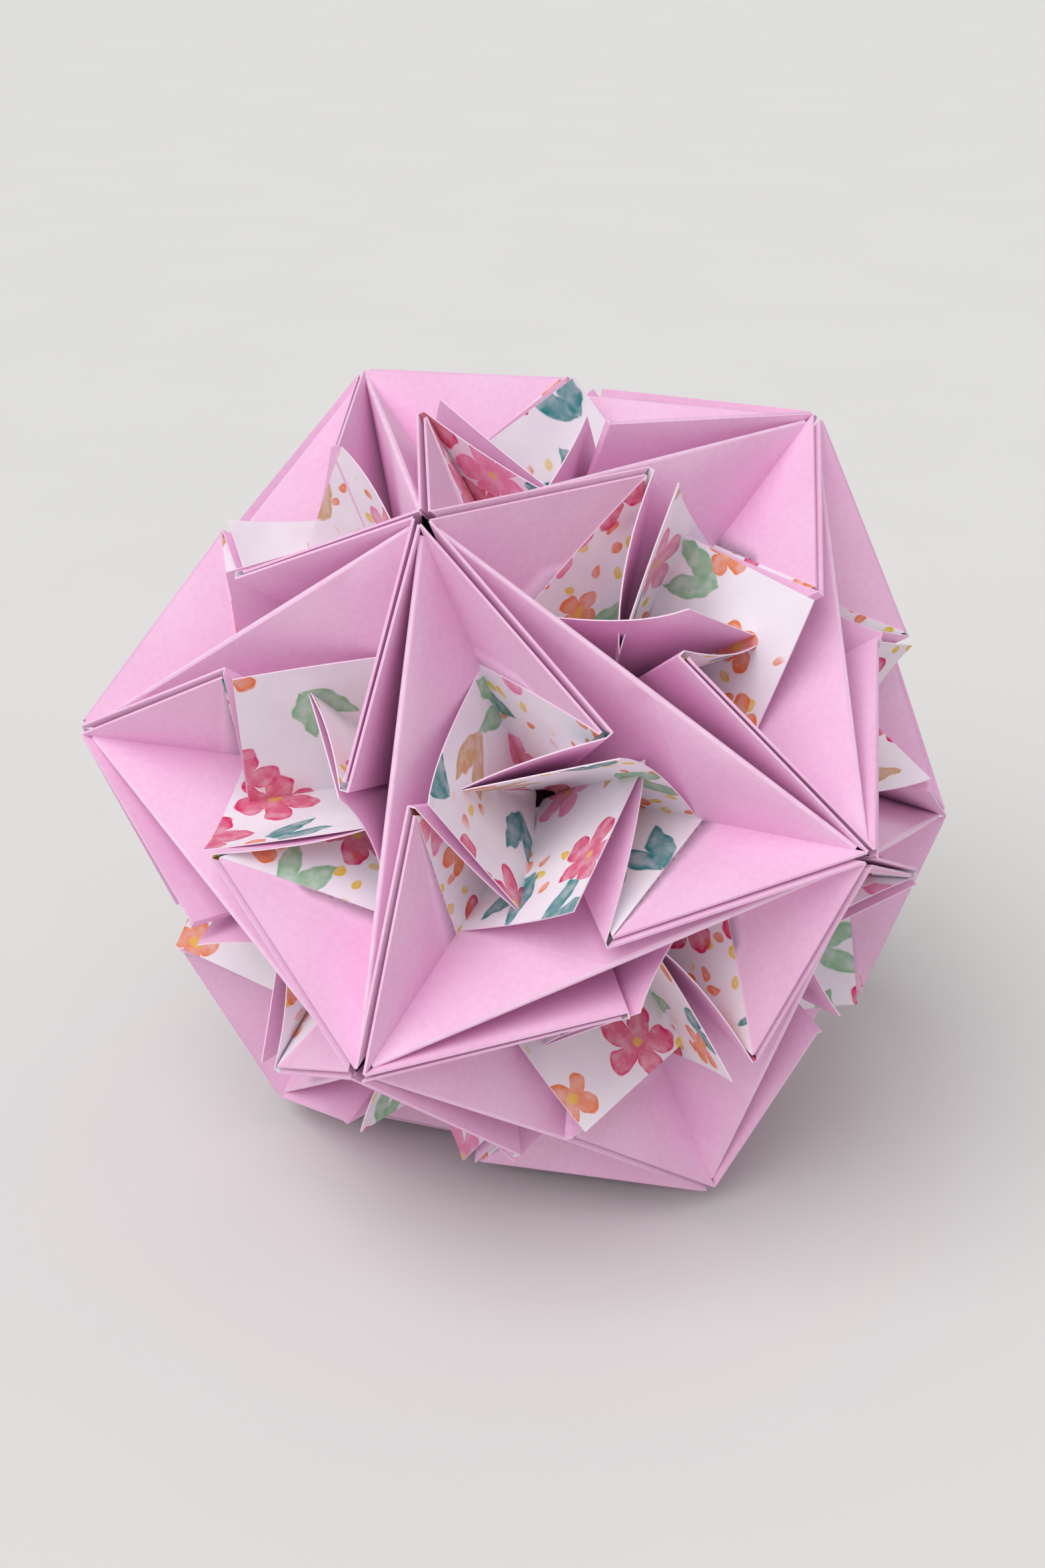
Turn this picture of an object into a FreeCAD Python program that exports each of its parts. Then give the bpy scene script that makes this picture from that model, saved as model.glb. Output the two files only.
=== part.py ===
"""A paper ball of thirty equal folded squares, one along each edge of an icosahedron.

Each square sheet becomes one unit. Its outer edge is a sharp ridge between two long
panels that fall into two of the ball's twenty hollow faces. Past each panel the sheet
carries a fin at one end, which is seen, and a tab at the other, which lies hidden
under the fin of the next unit. From the tab a flap wraps round that fin's edge and
turns into a petal, whose far side is rooted along the unit's own fin. Three petals
make a flower in every hollow. Nothing but this folding holds the ball together.
"""

import FreeCAD, Part
import math
import os

from FreeCAD import Rotation, Vector

# Driving dimensions, in millimetres and degrees
sheet_side = 75.0
paper_thickness = 0.18
tip_gap = 1.1
fin_lift = 16.0
tab_lift = 15.0
petal_tuck = 10.0
flap_tuck = 6.0
clearance = 0.25
front_corner_azimuth = -110.0
corner_limit = 2.5
shift_rounds = 40

# Sizes that follow from the square and from the icosahedron
ridge = sheet_side / math.sqrt(2)
half = ridge / 2
leg = ridge / math.sqrt(2)
ball_edge = ridge + 2 * tip_gap
ball_radius = ball_edge * math.sin(math.radians(72))
rest_height = ball_edge * (3 * math.sqrt(3) + math.sqrt(15)) / 12
face_tilt = 90 - math.degrees(math.acos(-math.sqrt(5) / 3)) / 2
hollow_dip = math.degrees(math.acos(1 / math.sqrt(3)))
panel_drop = face_tilt + hollow_dip


def cosine(degrees):
    return math.cos(math.radians(degrees))


def sine(degrees):
    return math.sin(math.radians(degrees))


def unit(vector):
    """The vector at length one."""
    return vector * (1 / vector.Length)


def between(a, b, share):
    """The point a given share of the way from a to b."""
    return a + (b - a) * share


def ray_between(a, b, angle_a, angle_b, side):
    """The direction at one angle from a and another from b, on the given side of both."""
    across = a.cross(b)
    dot = a.dot(b)
    along_a = (cosine(angle_a) - cosine(angle_b) * dot) / (1 - dot * dot)
    along_b = (cosine(angle_b) - cosine(angle_a) * dot) / (1 - dot * dot)
    flat = a * along_a + b * along_b
    rise = math.sqrt(max(0.0, 1 - flat.Length ** 2))
    if across.dot(side) < 0:
        rise = -rise
    return unit(flat + unit(across) * rise)


def key(point):
    """A point's name for finding the corners that facets share."""
    return round(point.x, 4), round(point.y, 4), round(point.z, 4)


def surface_shift(directions):
    """How far a corner moves so that it clears each facet there by its half thickness."""
    shift = Vector(0, 0, 0)
    for _ in range(shift_rounds):
        for normal, half_thickness in directions:
            shift = shift + normal * ((half_thickness - normal.dot(shift)) / 2)
    longest = corner_limit * max(half_thickness for _, half_thickness in directions)
    return shift * min(1.0, longest / shift.Length)


def thick_sheet(facets):
    """A closed solid of triangular facets, each given its corners and its layers of paper."""
    places = {}
    directions = {}
    sides = set()
    for corners, layers in facets:
        normal = unit((corners[1] - corners[0]).cross(corners[2] - corners[0]))
        names = [key(corner) for corner in corners]
        for index, corner in enumerate(corners):
            places[names[index]] = corner
            found = directions.setdefault(names[index], [])
            found.append((normal, layers * paper_thickness / 2))
            sides.add((names[index], names[(index + 1) % 3]))
    shifts = {name: surface_shift(found) for name, found in directions.items()}
    front = {name: places[name] + shifts[name] for name in places}
    back = {name: places[name] - shifts[name] for name in places}
    triangles = []
    for corners, _ in facets:
        a, b, c = [key(corner) for corner in corners]
        triangles += [(front[a], front[b], front[c]), (back[c], back[b], back[a])]
    for a, b in sides:
        if (b, a) not in sides:
            triangles += [(front[b], front[a], back[a]), (front[b], back[a], back[b])]
    faces = [Part.Face(Part.makePolygon([a, b, c, a])) for a, b, c in triangles]
    shell = Part.makeShell(faces)
    shell.sewShape()
    solid = Part.makeSolid(shell)
    if solid.Volume < 0:
        solid.reverse()
    return solid


def side_points():
    """The fold corners on one side of the ridge, at mid thickness."""
    down = Vector(0, cosine(panel_drop), -sine(panel_drop))
    front = Vector(0, sine(panel_drop), cosine(panel_drop))
    start = Vector(-half, 0, 0)
    end = Vector(half, 0, 0)
    root = down * half
    to_start = unit(start - root)
    to_end = unit(end - root)
    fin_fold = between(start, root, 0.5)
    tab_fold = between(end, root, 0.5)

    fin_tip = fin_fold + (front * cosine(fin_lift) + to_end * sine(fin_lift)) * (leg / 2)
    tab_tip = tab_fold + (to_start * cosine(tab_lift) + front * sine(tab_lift)) * (leg / 2)
    tab_back = front * cosine(tab_lift) - to_start * sine(tab_lift)

    inset = tip_gap / math.sqrt(2)
    fin_above_tab = inset * (cosine(fin_lift) + sine(fin_lift))
    wrap = tab_back * (fin_above_tab + 2 * paper_thickness + clearance)
    tip_out = tab_tip + wrap

    fin_ray = unit(fin_fold - root)
    tip_ray = unit(tip_out - root)
    crest_ray = ray_between(fin_ray, tip_ray, 90 - petal_tuck, 45 - flap_tuck, front)
    crest = root + crest_ray * (leg / 2)
    corner_ray = ray_between(fin_ray, crest_ray, 45, 45, tip_ray)
    corner = root + corner_ray * half

    edge_trim = 2 * paper_thickness + clearance
    fin_root = between(root, start, (edge_trim + wrap.Length) * math.sqrt(2) / leg)
    fin_edge = between(fin_tip, start, edge_trim / half)
    return dict(start=start, end=end, root=root, fin_root=fin_root, fin_edge=fin_edge, fin_fold=fin_fold,
                tab_tip=tab_tip, tip_out=tip_out, crest=crest, corner=corner)


def panel_facets(p):
    """The long panel, which meets its twin along the ridge."""
    return [((p["start"], p["end"], p["root"]), 2)]


def fin_facets(p):
    """The fin, which stands over the panel of the next sheet."""
    return [((p["start"], p["fin_root"], p["fin_edge"]), 2)]


def tab_facets(p):
    """The tab, which lies hidden between the next sheet's fin and this sheet's panel."""
    return [((p["end"], p["tab_tip"], p["root"]), 2)]


def flap_facets(p):
    """The wrap round the next fin's edge and the flap that lies over that fin."""
    return [
        ((p["root"], p["tab_tip"], p["tip_out"]), 1),
        ((p["root"], p["tip_out"], p["crest"]), 1),
    ]


def petal_facets(p):
    """The cupped petal, from the flap's crest back to the foot of the fin."""
    return [
        ((p["root"], p["crest"], p["corner"]), 1),
        ((p["root"], p["corner"], p["fin_fold"]), 1),
    ]


def half_turn(facets):
    """The same facets turned half round, for the other side of the ridge."""
    return [(tuple(Vector(-c.x, -c.y, c.z) for c in corners), layers) for corners, layers in facets]


def make_unit():
    """One folded sheet, with its ridge along X, its middle at the origin and Z outward."""
    points = side_points()
    ridge_panels = panel_facets(points)
    ridge_panels += half_turn(ridge_panels)
    folded = [thick_sheet(ridge_panels)]
    for make_facets in (fin_facets, tab_facets, flap_facets, petal_facets):
        facets = make_facets(points)
        folded += [thick_sheet(facets), thick_sheet(half_turn(facets))]
    return folded[0].multiFuse(folded[1:]).removeSplitter().Solids[0]


def ball_corners():
    """The ball's twelve corners about its centre: four level rings of three."""
    end_ring = ball_edge / math.sqrt(3)
    middle_ring = end_ring * (1 + math.sqrt(5)) / 2
    middle_height = math.sqrt(ball_radius ** 2 - middle_ring ** 2)
    rings = [
        (end_ring, rest_height, 0),
        (middle_ring, middle_height, 60),
        (middle_ring, -middle_height, 0),
        (end_ring, -rest_height, 60),
    ]
    corners = []
    for radius, height, turn in rings:
        for step in range(3):
            azimuth = front_corner_azimuth + turn + 120 * step
            corners.append(Vector(radius * cosine(azimuth), radius * sine(azimuth), height))
    return corners


def ball_edges():
    """The thirty pairs of neighbouring corners, from the bottom up and round."""
    corners = ball_corners()
    edges = []
    for index, first in enumerate(corners):
        for second in corners[index + 1:]:
            if abs((second - first).Length - ball_edge) < tip_gap:
                edges.append((first, second))
    return sorted(edges, key=height_then_azimuth)


def height_then_azimuth(edge):
    middle = between(edge[0], edge[1], 0.5)
    return round(middle.z, 3), round(math.degrees(math.atan2(middle.y, middle.x)), 3)


def unit_on_edge(solid, edge):
    """A copy of the unit with its ridge along one edge of the ball."""
    first, second = edge
    centre = between(first, second, 0.5)
    outward = unit(centre)
    along = unit(second - first)
    placed = solid.copy()
    placed.Placement = FreeCAD.Placement(centre, Rotation(along, outward.cross(along), outward, "ZXY"))
    return placed


def main():
    os.makedirs("parts", exist_ok=True)
    solid = make_unit()
    units = [unit_on_edge(solid, edge) for edge in ball_edges()]
    lift = Vector(0, 0, -min(placed.BoundBox.ZMin for placed in units))
    for number, placed in enumerate(units, start=1):
        placed.translate(lift)
        placed.exportStep(f"parts/folded_unit_{number:02d}.step")


if __name__ == "__main__":
    main()
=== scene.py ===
"""The looks of a folded paper ball: thirty sheets of two-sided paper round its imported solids."""

import math
import random

import bmesh
import bpy
from mathutils import Matrix, Quaternion, Vector


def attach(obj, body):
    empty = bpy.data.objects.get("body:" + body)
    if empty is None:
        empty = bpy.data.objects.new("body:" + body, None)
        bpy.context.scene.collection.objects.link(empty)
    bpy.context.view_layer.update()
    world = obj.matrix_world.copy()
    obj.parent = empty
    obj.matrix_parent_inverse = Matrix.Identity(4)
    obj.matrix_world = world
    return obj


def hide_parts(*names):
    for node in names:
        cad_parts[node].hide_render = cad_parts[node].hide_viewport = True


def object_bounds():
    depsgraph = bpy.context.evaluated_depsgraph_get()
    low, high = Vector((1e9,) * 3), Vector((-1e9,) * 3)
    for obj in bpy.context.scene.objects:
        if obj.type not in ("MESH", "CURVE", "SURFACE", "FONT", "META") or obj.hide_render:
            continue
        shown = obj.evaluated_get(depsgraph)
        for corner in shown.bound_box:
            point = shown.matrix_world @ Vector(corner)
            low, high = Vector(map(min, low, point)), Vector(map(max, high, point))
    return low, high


bl_info = {
    "name": "Folded paper ball",
    "version": (1, 0, 0),
    "blender": (4, 5, 0),
    "location": "3D View > Sidebar > Paper Ball",
    "description": "Folds thirty two-sided paper squares into a ball and sets it on a pale table",
    "category": "Add Mesh",
}

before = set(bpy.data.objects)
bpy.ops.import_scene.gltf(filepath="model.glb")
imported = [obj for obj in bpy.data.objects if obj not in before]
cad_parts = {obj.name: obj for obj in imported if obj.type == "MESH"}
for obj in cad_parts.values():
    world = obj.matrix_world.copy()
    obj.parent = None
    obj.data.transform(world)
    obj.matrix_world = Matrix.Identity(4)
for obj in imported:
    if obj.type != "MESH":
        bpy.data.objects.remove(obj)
CAD_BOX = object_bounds()
MM = 0.001
PINK, PRINT, CORE = range(3)
# The two sides of a unit: as folded, and turned half round
SIDES = (1, -1)
UNITS = 30
# Where a sheet's corner lies over its own fin: degrees off the hollow's axis and round it
CORNER_TILT = 23.3
CORNER_TURN = 56.5
# From the sheet's corner to the crest, in degrees: an eighth of a turn of the flat sheet, a little cupped
CREST_ARC = 44.3
# How far past the usual angle the folding hands lifted some fins, in degrees, by unit and side
LIFTED_FINS = {
    (5, 1): -2, (11, -1): -9, (13, 1): -1.5, (14, -1): -9, (14, 1): 0.5, (19, -1): 2.5, (19, 1): 3,
    (22, 1): -4.5, (23, -1): -7.5, (23, 1): -10, (24, -1): -4, (29, -1): -1,
}
# Where the crests of some petals point, by unit and side: degrees off the hollow's axis, degrees
# round it from the unit's start, and how wide the petal's mouth stands open, as a share of its length
CREST_POINTS = {
    (5, 1): (37, 152, 0.02), (11, -1): (31, 157, 0.06), (13, 1): (30, 158, 0.05), (14, -1): (33, 156, 0.04),
    (14, 1): (38, 160, 0.05), (19, -1): (34, 173, 0.05), (19, 1): (36, 150, 0.03), (22, 1): (40, 152, 0.02),
    (23, -1): (32, 178, 0.04), (23, 1): (33, 182, 0.1), (24, -1): (40, 147, 0.02), (29, -1): (28, 155, 0.08),
}


class SheetSizes(bpy.types.PropertyGroup):
    """Sizes of the square sheet and of the way it is folded."""

    side: bpy.props.FloatProperty(
        name="Sheet side", description="Side of the square sheet", default=75 * MM, unit="LENGTH")
    thickness: bpy.props.FloatProperty(
        name="Paper thickness", description="Thickness of one sheet", default=0.14 * MM, unit="LENGTH")
    snug: bpy.props.FloatProperty(
        name="Snug fit", description="Air between a fin and the sheet wrapped round it", default=0.08 * MM,
        unit="LENGTH")
    tip_gap: bpy.props.FloatProperty(
        name="Tip gap", description="From a ridge's tip to the middle of the corner", default=1.1 * MM,
        unit="LENGTH")
    ridge_radius: bpy.props.FloatProperty(
        name="Ridge radius", description="Rounding of the outer fold", default=0.25 * MM, unit="LENGTH")
    fin_lift: bpy.props.FloatProperty(
        name="Fin lift", description="Angle of a fin off the panel under it", default=math.radians(16),
        subtype="ANGLE")
    tab_lift: bpy.props.FloatProperty(
        name="Tab lift", description="Angle of a hidden tab off its own panel", default=math.radians(15),
        subtype="ANGLE")
    front_corner: bpy.props.FloatProperty(
        name="Front corner", description="Azimuth of the front one of the three top corners",
        default=math.radians(-110), subtype="ANGLE")


class SheetColours(bpy.types.PropertyGroup):
    """Colours of the two-sided paper, as sRGB hex values."""

    pink: bpy.props.StringProperty(name="Pink side", description="The plain side", default="F9CEEC")
    pink_deep: bpy.props.StringProperty(
        name="Pink clouds", description="The deeper tone of the plain side", default="F5C0E4")
    # Partly a painted highlight: this pale colour runs along each ridge fold where light catches it, and also
    # stands for rubbed dye
    worn_and_highlight: bpy.props.StringProperty(
        name="Worn fold", description="Where a fold has rubbed the dye off", default="FBE0F3")
    core: bpy.props.StringProperty(name="Cut edge", description="The cut edge of the sheet", default="F9E6F3")
    ground: bpy.props.StringProperty(name="Print ground", description="The printed side", default="FBF6FD")
    ground_shade: bpy.props.StringProperty(
        name="Ground clouds", description="The deeper tone of the print's ground", default="F6EEF9")
    magenta: bpy.props.StringProperty(name="Blossoms", description="Strong blossoms", default="DE1F6A")
    rose: bpy.props.StringProperty(name="Pale blossoms", description="Pale blossoms", default="F27FB0")
    orange: bpy.props.StringProperty(name="Small blossoms", description="Small blossoms", default="F07D3C")
    teal: bpy.props.StringProperty(name="Dark leaves", description="Dark leaves", default="23878B")
    green: bpy.props.StringProperty(name="Pale leaves", description="Pale leaves", default="8CBF95")
    tan: bpy.props.StringProperty(name="Tan strokes", description="Dry strokes", default="D3A878")
    yellow: bpy.props.StringProperty(name="Dots", description="Dots and eyes", default="F0CB45")


class StageSettings(bpy.types.PropertyGroup):
    """The table, the light and the camera."""

    floor: bpy.props.StringProperty(name="Table", description="Colour of the table", default="EAE9E7")
    floor_shade: bpy.props.StringProperty(
        name="Table clouds", description="The table's deeper tone", default="E5E4E2")
    sun: bpy.props.FloatProperty(
        name="Window light", description="Strength of the soft light from the side", default=1.68)
    sky: bpy.props.FloatProperty(
        name="Room light", description="Strength of the light from all round", default=0.5)
    sun_angle: bpy.props.FloatProperty(
        name="Window width", description="How wide the window looks from the table, for soft shadows",
        default=math.radians(55), subtype="ANGLE")
    sun_from: bpy.props.FloatVectorProperty(
        name="Window side", description="Direction from the ball to the window", default=(-0.45, -0.55, 1.0),
        subtype="XYZ")
    table_reach: bpy.props.FloatProperty(
        name="Table reach", description="From the table's middle to its sides", default=3.0, unit="LENGTH")
    camera_place: bpy.props.FloatVectorProperty(
        name="Camera place", description="From the ball's centre, as shares of its radius",
        default=(-0.026878, -4.052914, 1.944798), subtype="XYZ")
    camera_turn: bpy.props.FloatProperty(
        name="Camera turn", description="Turn of the camera's place round the ball",
        default=math.radians(0.26), subtype="ANGLE")
    camera_lens: bpy.props.FloatProperty(
        name="Lens", description="Focal length on a 36 mm high frame", default=46.31)
    camera_pitch: bpy.props.FloatProperty(
        name="Pitch", description="How far the camera looks down", default=math.radians(25.92),
        subtype="ANGLE")


def linear(hex_colour):
    """An sRGB hex colour as linear red, green, blue and one."""
    channels = [int(hex_colour[start:start + 2], 16) / 255 for start in (0, 2, 4)]
    return [c / 12.92 if c <= 0.04045 else ((c + 0.055) / 1.055) ** 2.4 for c in channels] + [1.0]


def add_node(tree, kind, settings=None, links=None):
    """A node of that kind, with its settings and what is linked into its sockets."""
    node = tree.nodes.new(kind)
    for name, value in (settings or {}).items():
        if isinstance(name, str) and hasattr(node, name):
            setattr(node, name, value)
        else:
            node.inputs[name].default_value = value
    for name, source in (links or {}).items():
        tree.links.new(source, node.inputs[name])
    return node


class SheetMesh:
    """Collects thin closed pieces of sheet, with a flat place on the sheet for each corner."""

    def __init__(self, thickness, draw):
        self.thickness = thickness
        self.print_turn = draw.uniform(0, math.tau)
        self.print_shift = (draw.uniform(0, 0.5), draw.uniform(0, 0.5))
        self.verts = []
        self.faces = []
        self.slots = []
        self.flats = []

    def patch(self, rows, flats, front, back, rims=(CORE, CORE, CORE, CORE), depth=0.0, layers=1):
        """A grid of points as a sheet: rows of points, their flat places, and each side's slot.

        The front lies on the side from which rows run up and columns run left to right
        anticlockwise. Depth moves the middle of the sheet to the back.
        """
        count, width = len(rows), len(rows[0])
        normals = [[self.normal_at(rows, i, j) for j in range(width)] for i in range(count)]
        half = self.thickness * layers / 2
        start = len(self.verts)
        for shift in (half - depth, -half - depth):
            for i in range(count):
                for j in range(width):
                    self.verts.append(rows[i][j] + normals[i][j] * shift)
        back_start = start + count * width

        def add(corners, slot, flat):
            self.faces.append(corners)
            self.slots.append(slot)
            self.flats.append(flat)

        def at(i, j):
            return i * width + j

        for i in range(count - 1):
            for j in range(width - 1):
                loop = [(i, j), (i, j + 1), (i + 1, j + 1), (i + 1, j)]
                flat = [flats[r][c] for r, c in loop]
                if len({tuple(round(x, 7) for x in rows[r][c]) for r, c in loop}) < 3:
                    continue
                add([start + at(r, c) for r, c in loop], front, flat)
                add([back_start + at(r, c) for r, c in reversed(loop)], back, flat[::-1])
        border = [
            ([(0, j) for j in range(width)], rims[0]),
            ([(i, width - 1) for i in range(count)], rims[1]),
            ([(count - 1, j) for j in reversed(range(width))], rims[2]),
            ([(i, 0) for i in reversed(range(count))], rims[3]),
        ]
        for line, slot in border:
            for (r0, c0), (r1, c1) in zip(line, line[1:]):
                if (rows[r0][c0] - rows[r1][c1]).length < 1e-7:
                    continue
                corners = [start + at(r1, c1), start + at(r0, c0), back_start + at(r0, c0),
                           back_start + at(r1, c1)]
                add(corners, slot, [flats[r1][c1], flats[r0][c0], flats[r0][c0], flats[r1][c1]])

    @staticmethod
    def normal_at(rows, i, j):
        """The sheet's front direction at one point of the grid."""
        count, width = len(rows), len(rows[0])
        total = Vector()
        for di, dj in ((1, 1), (-1, 1), (-1, -1), (1, -1)):
            if 0 <= i + di < count and 0 <= j + dj < width:
                up = rows[i + di][j] - rows[i][j]
                side = rows[i][j + dj] - rows[i][j]
                cross = side.cross(up) * (di * dj)
                if cross.length > 1e-14:
                    total += cross.normalized()
                else:
                    diagonal = rows[i + di][j + dj] - rows[i][j]
                    cross = side.cross(diagonal) if side.length > up.length else diagonal.cross(up)
                    cross = cross * (di * dj)
                    if cross.length > 1e-14:
                        total += cross.normalized()
        return total.normalized() if total.length > 1e-9 else Vector((0, 0, 1))

    def build(self, name, matrix, materials):
        """The collected pieces as one object, moved into place by the matrix."""
        mesh = bpy.data.meshes.new(name)
        mesh.from_pydata([matrix @ v for v in self.verts], [], self.faces)
        sheet = mesh.uv_layers.new(name="sheet")
        printed = mesh.uv_layers.new(name="print")
        cos, sin = math.cos(self.print_turn), math.sin(self.print_turn)
        for polygon, slot, flat in zip(mesh.polygons, self.slots, self.flats):
            polygon.material_index = slot
            for index, (u, v) in zip(polygon.loop_indices, flat):
                sheet.data[index].uv = (u, v)
                printed.data[index].uv = (u * cos - v * sin + self.print_shift[0],
                                          u * sin + v * cos + self.print_shift[1])
        for material in materials:
            mesh.materials.append(material)
        work = bmesh.new()
        work.from_mesh(mesh)
        bmesh.ops.remove_doubles(work, verts=work.verts, dist=1e-7)
        bmesh.ops.dissolve_degenerate(work, edges=work.edges, dist=1e-7)
        work.to_mesh(mesh)
        work.free()
        mesh.validate()
        for polygon in mesh.polygons:
            polygon.use_smooth = True
        mesh.set_sharp_from_angle(angle=math.radians(35))
        piece = bpy.data.objects.new(name, mesh)
        bpy.context.scene.collection.objects.link(piece)
        return piece


class FoldedUnit:
    """The fold corners of one side of a unit: its ridge along X, the ridge's middle at the origin, Z outward.

    Lift turns its own fin, and hold the fin that its tab holds, past the usual angle. Petal says where
    its crest points, as in CREST_POINTS.
    """

    def __init__(self, sizes, draw, lift=0.0, hold=0.0, petal=None):
        self.ridge = sizes.side / math.sqrt(2)
        self.half = self.ridge / 2
        self.leg = self.ridge / math.sqrt(2)
        self.thickness = sizes.thickness
        self.ridge_radius = sizes.ridge_radius
        face_tilt = math.pi / 2 - math.acos(-math.sqrt(5) / 3) / 2
        self.drop = face_tilt + math.acos(1 / math.sqrt(3))
        self.down = Vector((0, math.cos(self.drop), -math.sin(self.drop)))
        self.front = Vector((0, math.sin(self.drop), math.cos(self.drop)))
        self.start = Vector((-self.half, 0, 0))
        self.end = Vector((self.half, 0, 0))
        self.root = self.down * self.half
        self.axis = Vector((0, math.sin(face_tilt), math.cos(face_tilt)))
        level = Vector((0, math.cos(face_tilt), -math.sin(face_tilt)))
        corner = Vector((-self.half, 0, 0)) - level * self.ridge / (2 * math.sqrt(3))
        self.to_corner = corner.normalized()
        self.to_right = self.to_corner.cross(self.axis)
        to_start = (self.start - self.root).normalized()
        to_end = (self.end - self.root).normalized()
        self.fin_fold = (self.start + self.root) / 2
        self.tab_fold = (self.end + self.root) / 2
        fin_lift = sizes.fin_lift + lift
        tab_lift = sizes.tab_lift + hold
        self.fin_tip = self.fin_fold + (
            self.front * math.cos(fin_lift) + to_end * math.sin(fin_lift)) * self.leg / 2
        tab_flat = to_start * math.cos(tab_lift) + self.front * math.sin(tab_lift)
        tab_back = self.front * math.cos(tab_lift) - to_start * math.sin(tab_lift)
        tab_corner = self.tab_fold + tab_flat * self.leg / 2
        inset = sizes.tip_gap / math.sqrt(2)
        fin_above = inset * (math.cos(sizes.fin_lift) + math.sin(sizes.fin_lift))
        self.tip_out = tab_corner + tab_back * (fin_above + 2 * self.thickness + sizes.snug)
        self.tab_tip = tab_corner + tab_back * (fin_above - 3 * self.thickness - sizes.snug)
        follow = Quaternion(self.front.cross(to_end), lift)
        self.corner_ray = follow @ self.hollow_ray(CORNER_TILT, CORNER_TURN)
        if petal:
            tilt, turn, mouth = petal
        else:
            tilt = 32 + draw.uniform(-2, 2)
            turn = 159 + draw.uniform(-5, 5)
            mouth = draw.uniform(0.03, 0.1)
        crest = self.hollow_ray(tilt, turn)
        arc = math.radians(CREST_ARC)
        self.crest_ray = self.corner_ray.slerp(crest, arc / self.corner_ray.angle(crest))
        self.petal_belly = draw.uniform(0.0, 0.02)
        self.petal_cup = draw.uniform(0.55, 0.75)
        self.mouth = self.petal_belly + mouth

    def hollow_ray(self, tilt, turn):
        """A direction from the hollow's root: tilt off its axis, turned from this unit's corner."""
        tilt, turn = math.radians(tilt), math.radians(turn)
        flat = self.to_corner * math.cos(turn) - self.to_right * math.sin(turn)
        return self.axis * math.cos(tilt) + flat * math.sin(tilt)


def plan(x, y, unit):
    """A place on the flat sheet, in metres, from shares of the ridge."""
    return (x * unit.ridge, y * unit.ridge)


def turned(rows, flats):
    """The same piece on the other side of the ridge, half a turn round."""
    return ([[Vector((-p.x, -p.y, p.z)) for p in row] for row in rows],
            [[(-u, -v) for u, v in row] for row in flats])


def triangle_rows(a, b, tip, flat_a, flat_b, flat_tip, rise, columns, count, span=(0.0, 1.0)):
    """Rows from the line a to b up to the tip, bulged to the front by the given rise."""
    normal = (b - a).cross(tip - a).normalized()
    rows, flats = [], []
    for i in range(count + 1):
        up = i / count
        row, flat = [], []
        for j in range(columns + 1):
            share = span[0] + (span[1] - span[0]) * j / columns
            point = a.lerp(b, share).lerp(tip, up)
            bulge = rise * 4 * up * (1 - up) * (1 - (2 * share - 1) ** 2)
            row.append(point + normal * bulge)
            base = (flat_a[0] + (flat_b[0] - flat_a[0]) * share, flat_a[1] + (flat_b[1] - flat_a[1]) * share)
            flat.append((base[0] + (flat_tip[0] - base[0]) * up, base[1] + (flat_tip[1] - base[1]) * up))
        rows.append(row)
        flats.append(flat)
    return rows, flats


def add_roof(sheet, unit, draw):
    """The two long panels and the sharp rounded ridge between them."""
    radius = unit.ridge_radius
    half_angle = math.pi / 2 - unit.drop
    tangent = radius / math.tan(half_angle)
    centre = -radius / math.sin(half_angle)
    rises = [draw.uniform(0.1, 0.9) * MM, draw.uniform(0.1, 0.9) * MM]
    profile = []
    steps = 9
    for step in range(steps + 1):
        share = 1 - step / steps
        profile.append((tangent + (unit.half - tangent) * share, None, 1))
    for step in range(1, 6):
        profile.append((0, step / 6, 0))
    for step in range(steps + 1):
        share = step / steps
        profile.append((tangent + (unit.half - tangent) * share, None, -1))
    columns = 20
    rows, flats = [], []
    for reach, arc, side in profile:
        row, flat = [], []
        for j in range(columns + 1):
            across = 2 * j / columns - 1
            if side:
                y, z = reach * unit.down.y * side, reach * unit.down.z
                share = reach / unit.half
                bulge = rises[side < 0] * 4 * share * (1 - share) * (1 - across * across)
                x = across * unit.half * (1 - share)
                point = Vector((x, y, z)) + Vector((0, unit.front.y * side, unit.front.z)) * bulge
                flat_y = reach * side
            else:
                angle = (1 - 2 * arc) * (math.pi / 2 - half_angle)
                point = Vector((across * unit.half * (1 - tangent / unit.half), radius * math.sin(angle),
                                centre + radius * math.cos(angle)))
                flat_y = radius * angle
            row.append(point)
            flat.append((point.x, flat_y))
        rows.append(row)
        flats.append(flat)
    sheet.patch(rows[::-1], flats[::-1], PINK, PINK, (PINK,) * 4, depth=unit.thickness / 2, layers=2)


def add_fin(sheet, unit, draw, side):
    """The fin: the sheet's base layer, a pink flap behind it and a printed band in front."""
    rise = draw.uniform(-0.3, 0.5) * MM
    flat = (plan(-0.5, 0, unit), plan(0, 0.5, unit), plan(-0.5, 0.5, unit))
    trimmed = unit.start.lerp(unit.root, 0.97)
    tip = unit.fin_tip.lerp(unit.start, 0.012)

    def rows(span):
        made = triangle_rows(unit.start, trimmed, tip, *flat, rise, 12, 8, span)
        return made if side > 0 else turned(*made)

    sheet.patch(*rows((0, 1)), PINK, PRINT, (PINK,) * 4)
    sheet.patch(*rows((0, 0.5)), PRINT, PINK, (PINK, CORE, PINK, PINK), depth=unit.thickness)
    sheet.patch(*rows((0.5, 1)), PRINT, PINK, (PRINT, PRINT, PRINT, CORE), depth=-unit.thickness)


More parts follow.
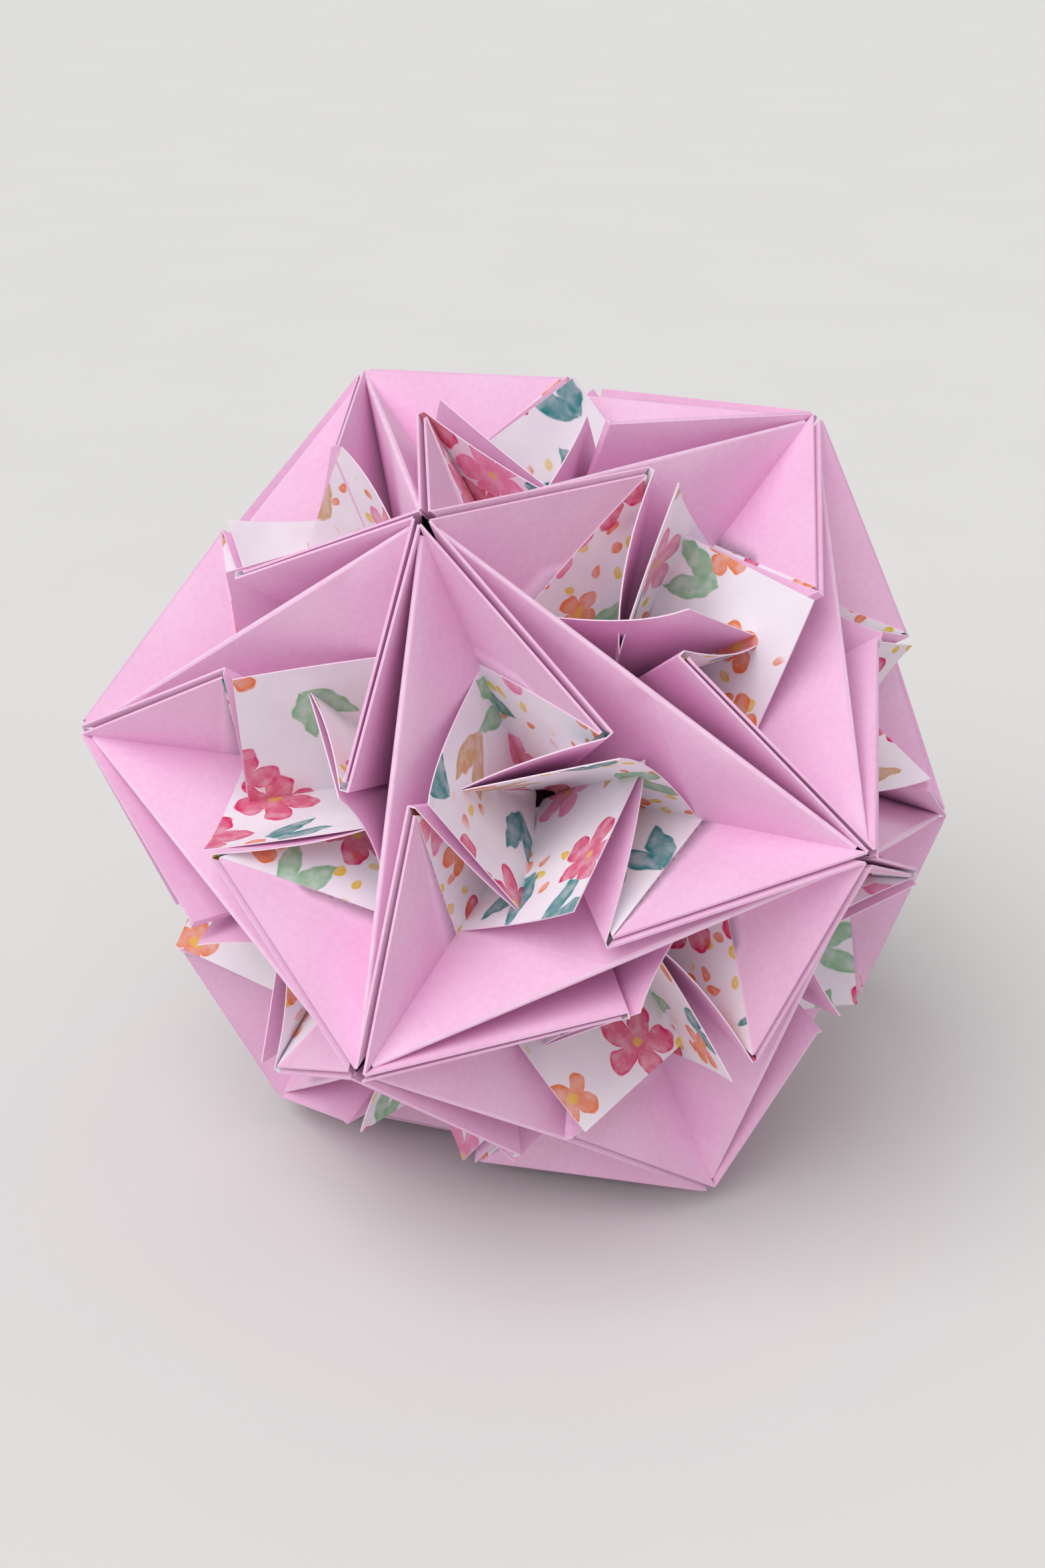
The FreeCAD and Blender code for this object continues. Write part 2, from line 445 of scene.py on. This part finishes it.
def add_tab(sheet, unit, side):
    """The hidden tab, with the pink flap on its back."""
    flat = (plan(0, 0.5, unit), plan(0.5, 0, unit), plan(0.5, 0.5, unit))

    def rows(span):
        made = triangle_rows(unit.root, unit.end, unit.tab_tip, *flat, 0.0, 8, 6, span)
        return made if side > 0 else turned(*made)

    sheet.patch(*rows((0, 1)), PINK, PRINT, (PINK,) * 4)
    sheet.patch(*rows((0.5, 1)), PRINT, PINK, (PINK, PINK, PINK, CORE), depth=unit.thickness)


def curve(a, control, b, share):
    """A point of the smooth curve from a to b that is pulled to the control point."""
    return a * (1 - share) ** 2 + control * (2 * share * (1 - share)) + b * share ** 2


def swept_rays(a, control, b, count, short, lean, flat_turn):
    """Rays from the root over an eighth of a turn of the flat sheet, each with its reach and flat turn.

    The sheet's straight edge is at the short reach where the lean from its square-on ray is zero.
    """
    dense = [curve(a, control, b, step / (count * 8)).normalized() for step in range(count * 8 + 1)]
    swept = [0.0]
    for before, after in zip(dense, dense[1:]):
        swept.append(swept[-1] + before.angle(after))
    rays = []
    for step in range(count + 1):
        share = swept[step * 8] / swept[-1]
        turn = share * math.pi / 4
        rays.append((dense[step * 8], short / math.cos(abs(lean - turn)), flat_turn - turn))
    return rays


def add_petal(sheet, unit, side):
    """The cupped petal, the crest, the flap and the wrap round the next fin's edge."""
    fold = (unit.fin_fold - unit.root).normalized()
    corner = unit.corner_ray
    crest = unit.crest_ray
    out = (unit.tip_out - unit.root).normalized()
    behind = (unit.tab_tip - unit.root).normalized()
    outward = (crest - corner).normalized().cross((crest + corner).normalized())
    belly = (corner + crest) / 2 + outward * unit.petal_belly
    cup = corner + (corner - belly) * unit.petal_cup
    mouth = (crest + out) / 2 + outward * unit.mouth
    eighth = math.pi / 4
    rays = swept_rays(fold, cup, corner, 10, unit.leg / 2, 0.0, math.pi * 0.75)
    rays += swept_rays(corner, belly, crest, 10, unit.leg / 2, eighth, math.pi / 2)[1:]
    rays += swept_rays(crest, mouth, out, 10, unit.leg / 2, 0.0, eighth)[1:]
    for step in range(1, 4):
        rays.append((out.slerp(behind, step / 3), unit.half, 0.0))
    rows, flats = [], []
    count = 12
    for i in range(count + 1):
        share = 0.015 + 0.985 * i / count
        rows.append([unit.root + ray * reach * share for ray, reach, _ in rays])
        flats.append([(reach * share * math.cos(turn), unit.half + reach * share * math.sin(turn))
                      for _, reach, turn in rays])
    if side < 0:
        rows, flats = turned(rows, flats)
    sheet.patch(rows, flats, PINK, PRINT, (CORE, PINK, CORE, PRINT))


def ball_corners(edge, start):
    """The ball's twelve corners about its centre, in four level rings of three."""
    radius = edge * math.sin(math.radians(72))
    end_ring = edge / math.sqrt(3)
    middle_ring = end_ring * (1 + math.sqrt(5)) / 2
    rings = ((end_ring, 1, 0), (middle_ring, 1, 60), (middle_ring, -1, 0), (end_ring, -1, 60))
    corners = []
    for ring, side, turn in rings:
        height = side * math.sqrt(radius ** 2 - ring ** 2)
        for step in range(3):
            azimuth = start + math.radians(turn + 120 * step)
            corners.append(Vector((ring * math.cos(azimuth), ring * math.sin(azimuth), height)))
    return corners


def ball_edges(edge, start):
    """Where each unit goes: the pairs of neighbouring corners, from the bottom up and round."""
    corners = ball_corners(edge, start)
    pairs = []
    for index, first in enumerate(corners):
        for second in corners[index + 1:]:
            if abs((second - first).length - edge) < MM:
                pairs.append((first, second))
    return sorted(pairs, key=lambda pair: (round(sum(pair, Vector()).z / 2 / MM, 3),
                                           round(math.degrees(azimuth_of(pair)), 3)))


def azimuth_of(pair):
    """The direction of a unit's middle, seen from above."""
    middle = (pair[0] + pair[1]) / 2
    return math.atan2(middle.y, middle.x)


def edge_matrix(pair, centre):
    """Moves a unit from its own frame to its edge of the ball."""
    middle = (pair[0] + pair[1]) / 2
    outward = middle.normalized()
    along = (pair[1] - pair[0]).normalized()
    turn = Matrix((along, outward.cross(along), outward)).transposed().to_4x4()
    return Matrix.Translation(centre + middle) @ turn


def calc(tree, operation, *values, clamp=False):
    """A sum of numbers or sockets, done by one math node."""
    node = add_node(tree, "ShaderNodeMath", {"operation": operation, "use_clamp": clamp})
    for socket, value in zip(node.inputs, values):
        if isinstance(value, (int, float)):
            socket.default_value = value
        else:
            tree.links.new(value, socket)
    return node.outputs[0]


def fade(tree, value, low, high, out_low=0.0, out_high=1.0):
    """A soft step from one output to the other as the value goes from low to high."""
    node = add_node(tree, "ShaderNodeMapRange",
                    {"interpolation_type": "SMOOTHSTEP", "From Min": low, "From Max": high,
                     "To Min": out_low, "To Max": out_high}, {"Value": value})
    return node.outputs["Result"]


def blend(tree, factor, a, b, kind="MIX"):
    """Colour a turned into colour b by the factor; colours are hex strings or sockets."""
    node = add_node(tree, "ShaderNodeMix", {"data_type": "RGBA", "blend_type": kind})
    for index, value in ((0, factor), (6, a), (7, b)):
        if isinstance(value, str):
            node.inputs[index].default_value = linear(value)
        elif isinstance(value, (int, float)):
            node.inputs[index].default_value = value
        else:
            tree.links.new(value, node.inputs[index])
    return node.outputs[2]


def place_on(tree, layer):
    """The place on the sheet, in metres, from one of the two layers of flat places."""
    return add_node(tree, "ShaderNodeUVMap", {"uv_map": layer}).outputs["UV"]


def cloud(tree, place, size, detail=2.0, seed=0.0):
    """Soft noise whose spots are about the given size in metres."""
    node = add_node(tree, "ShaderNodeTexNoise",
                    {"noise_dimensions": "4D", "Scale": 1 / size, "Detail": detail, "W": seed},
                    {"Vector": place})
    return node.outputs["Fac"]


def paper_surface(tree, colour, place, roughness):
    """The matt, slightly fibrous and wavy surface that both sides of the sheet share."""
    fibre = cloud(tree, place, 0.5 * MM, 3.0)
    wave = cloud(tree, place, 9 * MM, 1.0, 3.0)
    fibre_bump = add_node(tree, "ShaderNodeBump", {"Strength": 0.5, "Distance": 0.025 * MM},
                          {"Height": fibre})
    wave_bump = add_node(tree, "ShaderNodeBump", {"Strength": 0.6, "Distance": 0.45 * MM},
                         {"Height": wave, "Normal": fibre_bump.outputs["Normal"]})
    shader = tree.nodes["Principled BSDF"]
    shader.inputs["Roughness"].default_value = roughness
    shader.inputs["Specular IOR Level"].default_value = 0.25
    tree.links.new(wave_bump.outputs["Normal"], shader.inputs["Normal"])
    tree.links.new(colour, shader.inputs["Base Color"])


def new_material(name):
    """A new node material of that name."""
    material = bpy.data.materials.new(name)
    material.use_nodes = True
    return material


def pink_paper(colours, sizes):
    """Paper dyed on one side: an even pink with faint clouds, and a pale stripe along each ridge fold that is
    partly rubbed dye and partly a painted highlight.
    """
    material = new_material("pink dyed origami paper")
    tree = material.node_tree
    place = place_on(tree, "sheet")
    split = add_node(tree, "ShaderNodeSeparateXYZ", {}, {"Vector": place})
    across = calc(tree, "ABSOLUTE", split.outputs["X"])
    up = calc(tree, "ABSOLUTE", split.outputs["Y"])
    tone = calc(tree, "ADD", fade(tree, cloud(tree, place, 14 * MM, 2.0, 5.0), 0.3, 0.7, -0.5, 0.5),
                fade(tree, cloud(tree, place, 0.8 * MM, 2.0), 0.3, 0.7, -0.35, 0.35))
    tone = fade(tree, tone, -0.9, 0.9)
    colour = blend(tree, tone, colours.pink_deep, colours.pink)
    # Painted highlight along the ridge fold: a pale stripe where the sheet's centre fold lies, partly rubbed
    # dye as well
    worn_and_highlight = calc(tree, "MULTIPLY", fade(tree, up, 0.05 * MM, 0.3 * MM, 1.0, 0.0),
                fade(tree, cloud(tree, place, 2 * MM, 2.0, 9.0), 0.3, 0.65, 0.15, 0.7))
    colour = blend(tree, worn_and_highlight, colour, colours.worn_and_highlight)
    press = calc(tree, "ABSOLUTE", calc(tree, "SUBTRACT", across, up))
    pressed = calc(tree, "MULTIPLY", fade(tree, press, 0.0, 0.3 * MM, 1.0, 0.0),
                   fade(tree, up, sizes.side * 0.16, sizes.side * 0.177, 1.0, 0.0))
    here_and_there = fade(tree, cloud(tree, place, 7 * MM, 1.0, 12.0), 0.42, 0.62, 0.0, 0.3)
    pressed = calc(tree, "MULTIPLY", pressed, here_and_there)
    colour = blend(tree, pressed, colour, colours.worn_and_highlight)
    paper_surface(tree, colour, place, 0.62)
    return material


def motif_cells(tree, place, size, seed):
    """Scattered motif middles: each point's place from its motif's middle, turned, and two chances."""
    moved = add_node(tree, "ShaderNodeVectorMath",
                     {"operation": "ADD", 1: (seed * 0.037, seed * 0.053, 0)}, {0: place})
    wobble = add_node(tree, "ShaderNodeTexNoise",
                      {"noise_dimensions": "2D", "Scale": 1 / (2.5 * MM), "Detail": 1.0},
                      {"Vector": moved.outputs[0]})
    shake = add_node(tree, "ShaderNodeVectorMath", {"operation": "MULTIPLY_ADD", 1: (0.0012, 0.0012, 0)},
                     {0: wobble.outputs["Color"], 2: moved.outputs[0]})
    cells = add_node(tree, "ShaderNodeTexVoronoi",
                     {"voronoi_dimensions": "2D", "feature": "F1", "Scale": 1 / size, "Randomness": 0.62},
                     {"Vector": shake.outputs[0]})
    off = add_node(tree, "ShaderNodeVectorMath", {"operation": "SUBTRACT"},
                   {0: shake.outputs[0], 1: cells.outputs["Position"]})
    chance = add_node(tree, "ShaderNodeSeparateColor", {}, {"Color": cells.outputs["Color"]})
    angle = calc(tree, "MULTIPLY", chance.outputs["Blue"], math.tau)
    turn = add_node(tree, "ShaderNodeVectorRotate", {"rotation_type": "Z_AXIS"},
                    {"Vector": off.outputs[0], "Angle": angle})
    split = add_node(tree, "ShaderNodeSeparateXYZ", {}, {"Vector": turn.outputs[0]})
    return split.outputs["X"], split.outputs["Y"], chance.outputs["Red"], chance.outputs["Green"]


def between(tree, value, low, high):
    """One where the value lies between low and high."""
    above = calc(tree, "GREATER_THAN", value, low)
    return calc(tree, "MULTIPLY", above, calc(tree, "LESS_THAN", value, high))


def wash(tree, depth, place, seed, soft=0.12 * MM):
    """How strongly a brush mark of that depth inside its edge is painted: full at the rim, thin inside."""
    mark = fade(tree, depth, -soft, soft)
    rim = fade(tree, depth, 0.1 * MM, 0.9 * MM, 1.0, 0.84)
    pool = fade(tree, cloud(tree, place, 1.6 * MM, 2.0, seed), 0.3, 0.62, 0.66, 1.0)
    return calc(tree, "MULTIPLY", mark, calc(tree, "MULTIPLY", rim, pool))


def blossom(tree, x, y, radius, petals):
    """Depth inside a blossom of round petals, and the way from its middle."""
    reach = calc(tree, "SQRT", calc(tree, "ADD", calc(tree, "MULTIPLY", x, x), calc(tree, "MULTIPLY", y, y)))
    turn = calc(tree, "MULTIPLY", calc(tree, "ARCTAN2", y, x), petals / 2)
    lobe = calc(tree, "POWER", calc(tree, "ABSOLUTE", calc(tree, "COSINE", turn)), 0.7)
    rim = calc(tree, "MULTIPLY_ADD", lobe, radius * 0.62, radius * 0.38)
    return calc(tree, "SUBTRACT", rim, reach), reach


def leaf(tree, x, y, width, length, apart, lean):
    """Depth inside a pair of pointed leaves that lean away from a stem along Y."""
    side = calc(tree, "ABSOLUTE", x)
    along = calc(tree, "ADD", calc(tree, "MULTIPLY", y, math.cos(lean)),
                 calc(tree, "MULTIPLY", side, math.sin(lean)))
    off = calc(tree, "SUBTRACT", calc(tree, "SUBTRACT", calc(tree, "MULTIPLY", side, math.cos(lean)),
                                      calc(tree, "MULTIPLY", y, math.sin(lean))), apart)
    share = calc(tree, "DIVIDE", along, length / 2)
    belly = calc(tree, "SUBTRACT", 1.0, calc(tree, "MULTIPLY", share, share))
    belly = calc(tree, "MULTIPLY", belly, width / 2)
    return calc(tree, "SUBTRACT", belly, calc(tree, "ABSOLUTE", off))


def printed_paper(colours):
    """The printed side: loose blossoms, leaves, strokes and dots in thin washes on a pale ground."""
    material = new_material("origami paper printed with flowers")
    tree = material.node_tree
    place = place_on(tree, "print")
    shade = fade(tree, cloud(tree, place, 5 * MM, 2.0, 1.0), 0.3, 0.7)
    colour = blend(tree, shade, colours.ground, colours.ground_shade)

    x, y, _, tint = motif_cells(tree, place, 3.1 * MM, 7)
    group = fade(tree, cloud(tree, place, 13 * MM, 0.0, 21.0), 0.54, 0.58)
    narrow = calc(tree, "MULTIPLY", calc(tree, "MULTIPLY", x, x), 1.9)
    reach = calc(tree, "SQRT", calc(tree, "ADD", narrow, calc(tree, "MULTIPLY", y, y)))
    dot = calc(tree, "SUBTRACT", 0.75 * MM, reach)
    painted = calc(tree, "MULTIPLY", wash(tree, dot, place, 31.0), group)
    dots = blend(tree, between(tree, tint, 0.6, 1.0), colours.yellow, colours.orange)
    colour = blend(tree, painted, colour, dots)

    x, y, kind, tint = motif_cells(tree, place, 9.5 * MM, 3)
    stroke = leaf(tree, x, y, 2.6 * MM, 7.5 * MM, 1.5 * MM, 0.35)
    painted = calc(tree, "MULTIPLY", wash(tree, stroke, place, 41.0), between(tree, kind, 0.0, 0.3))
    leaves = blend(tree, between(tree, tint, 0.45, 0.75), colours.teal, colours.green)
    leaves = blend(tree, between(tree, tint, 0.75, 1.0), leaves, colours.tan)
    colour = blend(tree, painted, colour, leaves)
    single = leaf(tree, calc(tree, "ADD", x, 0.6 * MM), y, 2.8 * MM, 6.5 * MM, 0.0, 0.0)
    painted = calc(tree, "MULTIPLY", wash(tree, single, place, 43.0), between(tree, kind, 0.3, 0.48))
    strokes = blend(tree, between(tree, tint, 0.5, 1.0), colours.rose, colours.tan)
    colour = blend(tree, painted, colour, strokes)

    flower, reach = blossom(tree, x, y, 4.6 * MM, 5)
    painted = calc(tree, "MULTIPLY", wash(tree, flower, place, 47.0), between(tree, kind, 0.48, 0.82))
    petals = blend(tree, between(tree, tint, 0.45, 0.8), colours.magenta, colours.rose)
    petals = blend(tree, fade(tree, reach, 0.5 * MM, 3.0 * MM, 0.35, 0.0), petals, colours.magenta)
    colour = blend(tree, painted, colour, petals)
    small, reach = blossom(tree, x, y, 2.9 * MM, 4)
    painted = calc(tree, "MULTIPLY", wash(tree, small, place, 53.0), between(tree, kind, 0.82, 1.0))
    colour = blend(tree, painted, colour, colours.orange)
    eye = fade(tree, reach, 0.35 * MM, 0.75 * MM, 1.0, 0.0)
    eye = calc(tree, "MULTIPLY", eye, between(tree, kind, 0.48, 1.0))
    colour = blend(tree, calc(tree, "MULTIPLY", eye, 0.7), colour, colours.yellow)
    paper_surface(tree, colour, place, 0.6)
    return material


def cut_edge(colours):
    """The knife-cut edge of the sheet: white fibres between the two coloured faces."""
    material = new_material("cut edge of paper")
    tree = material.node_tree
    place = place_on(tree, "sheet")
    paper_surface(tree, blend(tree, cloud(tree, place, 0.4 * MM), colours.core, colours.worn_and_highlight), place, 0.8)
    return material


def table_top(stage):
    """A board painted a matt off-white, rolled on, with the faintest clouding."""
    material = new_material("rolled matt paint")
    tree = material.node_tree
    place = add_node(tree, "ShaderNodeNewGeometry").outputs["Position"]
    colour = blend(tree, cloud(tree, place, 60 * MM), stage.floor, stage.floor_shade)
    grain = add_node(tree, "ShaderNodeBump", {"Strength": 0.3, "Distance": 0.03 * MM},
                     {"Height": cloud(tree, place, 1.5 * MM)})
    shader = tree.nodes["Principled BSDF"]
    shader.inputs["Roughness"].default_value = 0.85
    shader.inputs["Specular IOR Level"].default_value = 0.2
    tree.links.new(grain.outputs["Normal"], shader.inputs["Normal"])
    tree.links.new(colour, shader.inputs["Base Color"])
    return material


def held_fins(places, unit):
    """For each side of each unit, the unit and side whose fin its tab holds."""
    sides = {}
    for number, place in enumerate(places, start=1):
        for side in SIDES:
            turn = Matrix.Diagonal((side, side, 1, 1))
            sides[number, side] = [place @ turn @ point for point in (unit.root, unit.start, unit.end)]
    near = 5 * MM
    held = {}
    for name, (root, _, end) in sides.items():
        for other, (other_root, start, _) in sides.items():
            if other != name and (other_root - root).length < near and (start - end).length < near:
                held[name] = other
    return held


def ball_edge(sizes):
    """From one of the ball's corners to the next."""
    return sizes.side / math.sqrt(2) + 2 * sizes.tip_gap


def ball_centre():
    """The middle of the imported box."""
    return (Vector(CAD_BOX[0]) + Vector(CAD_BOX[1])) / 2


class OBJECT_OT_fold_units(bpy.types.Operator):
    """Fold the thirty sheets and set each on its edge of the ball."""

    bl_idname = "object.fold_units"
    bl_label = "Fold the sheets"

    def execute(self, context):
        sizes = context.scene.sheet_sizes
        colours = context.scene.sheet_colours
        materials = [pink_paper(colours, sizes), printed_paper(colours), cut_edge(colours)]
        edges = ball_edges(ball_edge(sizes), sizes.front_corner)
        if len(edges) != UNITS:
            raise RuntimeError(f"The ball has {len(edges)} edges in place of {UNITS}")
        places = [edge_matrix(pair, ball_centre()) for pair in edges]
        held = held_fins(places, FoldedUnit(sizes, random.Random(0)))
        chance = random.Random(11)
        lifts = {name: math.radians(LIFTED_FINS.get(name, chance.uniform(-6, 1))) for name in held}
        for number, place in enumerate(places, start=1):
            draw = random.Random(number)
            sheet = SheetMesh(sizes.thickness, draw)
            add_roof(sheet, FoldedUnit(sizes, draw), draw)
            for side in SIDES:
                name = (number, side)
                unit = FoldedUnit(sizes, draw, lifts[name], lifts[held[name]], CREST_POINTS.get(name))
                add_fin(sheet, unit, draw, side)
                add_tab(sheet, unit, side)
                add_petal(sheet, unit, side)
            piece = sheet.build(f"folded_sheet_{number:02d}", place, materials)
            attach(piece, "root")
            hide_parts(f"folded_unit_{number:02d}")
        return {"FINISHED"}


class OBJECT_OT_set_stage(bpy.types.Operator):
    """Set the table, the light and the camera."""

    bl_idname = "object.set_stage"
    bl_label = "Set the stage"

    def execute(self, context):
        stage = context.scene.stage_settings
        sizes = context.scene.sheet_sizes
        radius = ball_edge(sizes) * math.sin(math.radians(72))
        if radius <= 0:
            raise RuntimeError("The ball has no size to set the camera by")
        mesh = bpy.data.meshes.new("table")
        reach = stage.table_reach
        mesh.from_pydata([(-reach, -reach, 0), (reach, -reach, 0), (reach, reach, 0), (-reach, reach, 0)], [],
                         [(0, 1, 2, 3)])
        mesh.materials.append(table_top(stage))
        table = bpy.data.objects.new("table", mesh)
        context.scene.collection.objects.link(table)
        data = bpy.data.lights.new("window", "SUN")
        data.energy = stage.sun
        data.angle = stage.sun_angle
        lamp = bpy.data.objects.new("window", data)
        lamp.matrix_world = Vector(stage.sun_from).to_track_quat("Z", "Y").to_matrix().to_4x4()
        context.scene.collection.objects.link(lamp)
        world = bpy.data.worlds.new("soft daylight")
        world.use_nodes = True
        world.node_tree.nodes["Background"].inputs["Color"].default_value = (1, 1, 1, 1)
        world.node_tree.nodes["Background"].inputs["Strength"].default_value = stage.sky
        context.scene.world = world
        data = bpy.data.cameras.new("camera")
        data.sensor_fit = "VERTICAL"
        data.sensor_height = 36
        data.lens = stage.camera_lens
        camera = bpy.data.objects.new("camera", data)
        turn = Matrix.Rotation(stage.camera_turn, 4, "Z")
        camera.matrix_world = (Matrix.Translation(ball_centre()) @ turn
                               @ Matrix.Translation(Vector(stage.camera_place) * radius)
                               @ Matrix.Rotation(math.pi / 2 - stage.camera_pitch, 4, "X"))
        context.scene.collection.objects.link(camera)
        context.scene.camera = camera
        return {"FINISHED"}


class VIEW3D_PT_paper_ball(bpy.types.Panel):
    """The paper ball's sizes, colours and steps."""

    bl_label = "Paper Ball"
    bl_idname = "VIEW3D_PT_paper_ball"
    bl_space_type = "VIEW_3D"
    bl_region_type = "UI"
    bl_category = "Paper Ball"

    def draw(self, context):
        for group in (context.scene.sheet_sizes, context.scene.sheet_colours, context.scene.stage_settings):
            for name in group.bl_rna.properties.keys():
                if name not in ("rna_type", "name"):
                    self.layout.prop(group, name)
        self.layout.operator("object.fold_units")
        self.layout.operator("object.set_stage")


CLASSES = (SheetSizes, SheetColours, StageSettings, OBJECT_OT_fold_units, OBJECT_OT_set_stage,
           VIEW3D_PT_paper_ball)


def register():
    """Make the settings, the steps and the panel known to Blender."""
    for one in CLASSES:
        bpy.utils.register_class(one)
    bpy.types.Scene.sheet_sizes = bpy.props.PointerProperty(type=SheetSizes)
    bpy.types.Scene.sheet_colours = bpy.props.PointerProperty(type=SheetColours)
    bpy.types.Scene.stage_settings = bpy.props.PointerProperty(type=StageSettings)


def unregister():
    """Take them away again."""
    del bpy.types.Scene.sheet_sizes
    del bpy.types.Scene.sheet_colours
    del bpy.types.Scene.stage_settings
    for one in reversed(CLASSES):
        bpy.utils.unregister_class(one)


def main():
    """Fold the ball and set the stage."""
    register()
    bpy.ops.object.fold_units()
    bpy.ops.object.set_stage()
    bpy.context.scene.view_settings.view_transform = "Standard"
    bpy.context.view_layer.update()


if __name__ == "__main__":
    main()
